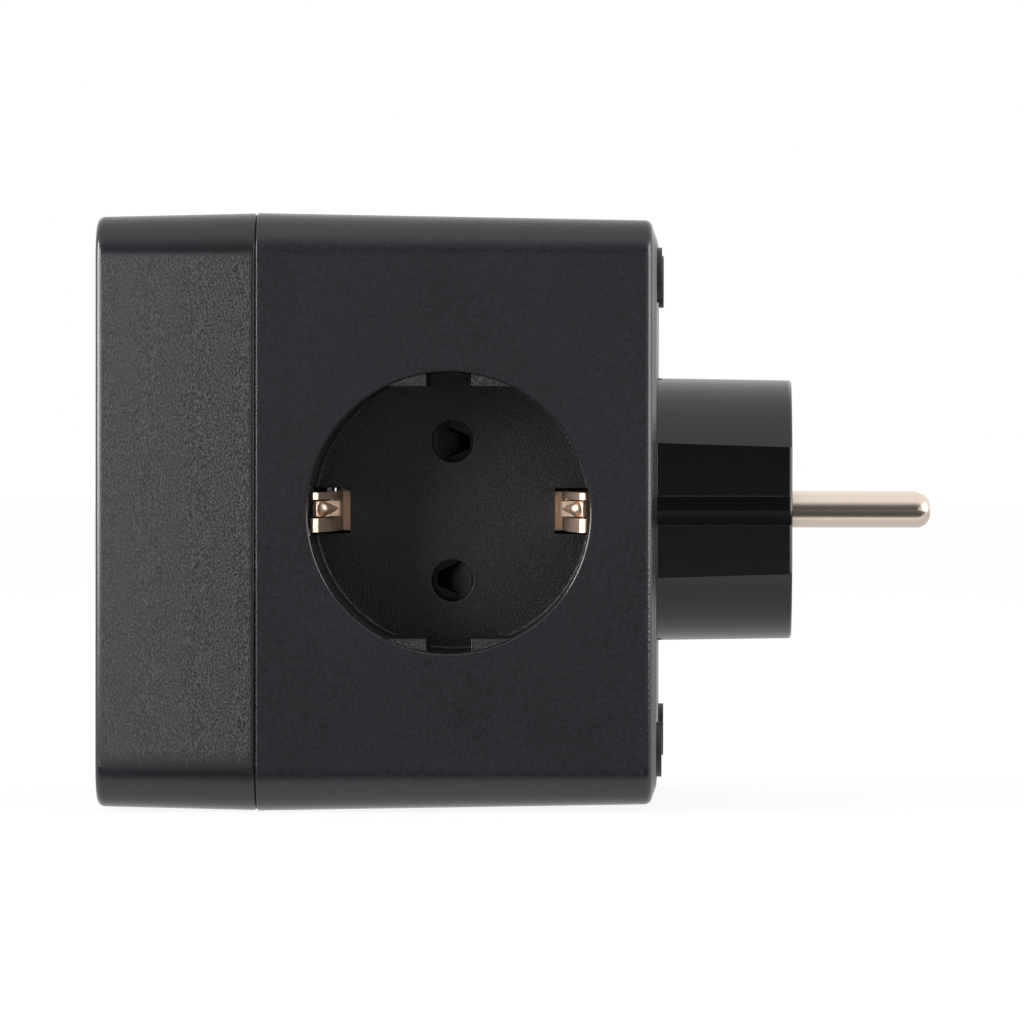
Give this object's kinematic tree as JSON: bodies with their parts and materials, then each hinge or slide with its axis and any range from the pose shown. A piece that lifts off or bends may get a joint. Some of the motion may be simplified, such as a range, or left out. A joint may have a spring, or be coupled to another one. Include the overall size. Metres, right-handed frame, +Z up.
{
  "type": "multi-socket adapter",
  "caption": "Cube-shaped plug-in adapter with a round earthed plug, earthed socket recesses with rotary shutters on its sides and charging ports in its front cap.",
  "frame": {"origin": "centre of the plug's face, between the two pins", "axes": "+Y along the pins towards the wall, +Z up, +X towards the socket seen in the picture"},
  "size_m": [0.0804, 0.1127, 0.0804],
  "materials": {
    "satin_plastic": "smooth satin black moulding",
    "grained_plastic": "fine spark-eroded grain, black",
    "glossy_plastic": "polished black moulding",
    "socket_plastic": "finely grained black moulding",
    "shutter_plastic": "black nylon",
    "nickel": "nickel plated brass, lightly brushed",
    "brass": "stamped brass",
    "spring_wire": "drawn spring steel",
    "steel": "zinc plated steel",
    "soft_rubber": "soft black rubber",
    "wire_sheath": "insulated wire",
    "board": "green solder mask",
    "port_steel": "bright tin plate",
    "port_plastic": "black insulator",
    "winding_tape": "yellow winding tape",
    "can_sleeve": "blue sleeve"
  },
  "bodies": {
    "casing": {"main_housing": "satin_plastic", "front_cap": "grained_plastic", "plug_body": "glossy_plastic", "line_pin": "nickel", "neutral_pin": "nickel", "earth_pin_sleeve": "brass", "plug_earth_bracket": "nickel", "earth_link": "brass", "line_busbar": "brass", "neutral_busbar": "brass", "earth_wire": "wire_sheath", "line_feed_wire": "wire_sheath", "neutral_feed_wire": "wire_sheath", "housing_screws": "steel", "rear_pads": "soft_rubber", "usb_board": "board", "board_screws": "steel", "usb_a_shells": "port_steel", "usb_a_tongues": "port_plastic", "usb_c_shell": "port_steel", "usb_c_tongue": "port_plastic", "transformer": "winding_tape", "capacitors": "can_sleeve", "choke": "can_sleeve", "socket_cup_right": "socket_plastic", "shutter_spring_right": "spring_wire", "contact_carrier_right": "shutter_plastic", "earth_strip_right": "nickel", "socket_cup_left": "socket_plastic", "shutter_spring_left": "spring_wire", "contact_carrier_left": "shutter_plastic", "earth_strip_left": "nickel", "socket_cup_top": "socket_plastic", "shutter_spring_top": "spring_wire", "contact_carrier_top": "shutter_plastic", "earth_strip_top": "nickel"},
    "shutter_right": {"shutter_right": "shutter_plastic"},
    "shutter_left": {"shutter_left": "shutter_plastic"},
    "shutter_top": {"shutter_top": "shutter_plastic"}
  },
  "joints": [
    {"name": "shutter_right_turn", "type": "hinge", "parent": "casing", "child": "shutter_right", "pos_m": [0, -0.0463, 0], "axis": [1, 0, 0], "range_deg": [0, 34], "stiffness_Nm_per_rad": 0.02, "springref_deg": -17.19, "deforming": ["shutter_spring_right"]},
    {"name": "shutter_left_turn", "type": "hinge", "parent": "casing", "child": "shutter_left", "pos_m": [0, -0.0463, 0], "axis": [-1, 0, 0], "range_deg": [0, 34], "stiffness_Nm_per_rad": 0.02, "springref_deg": -17.19, "deforming": ["shutter_spring_left"]},
    {"name": "shutter_top_turn", "type": "hinge", "parent": "casing", "child": "shutter_top", "pos_m": [0, -0.0463, 0], "axis": [0, 0, 1], "range_deg": [0, 34], "stiffness_Nm_per_rad": 0.02, "springref_deg": -17.19, "deforming": ["shutter_spring_top"]}
  ]
}
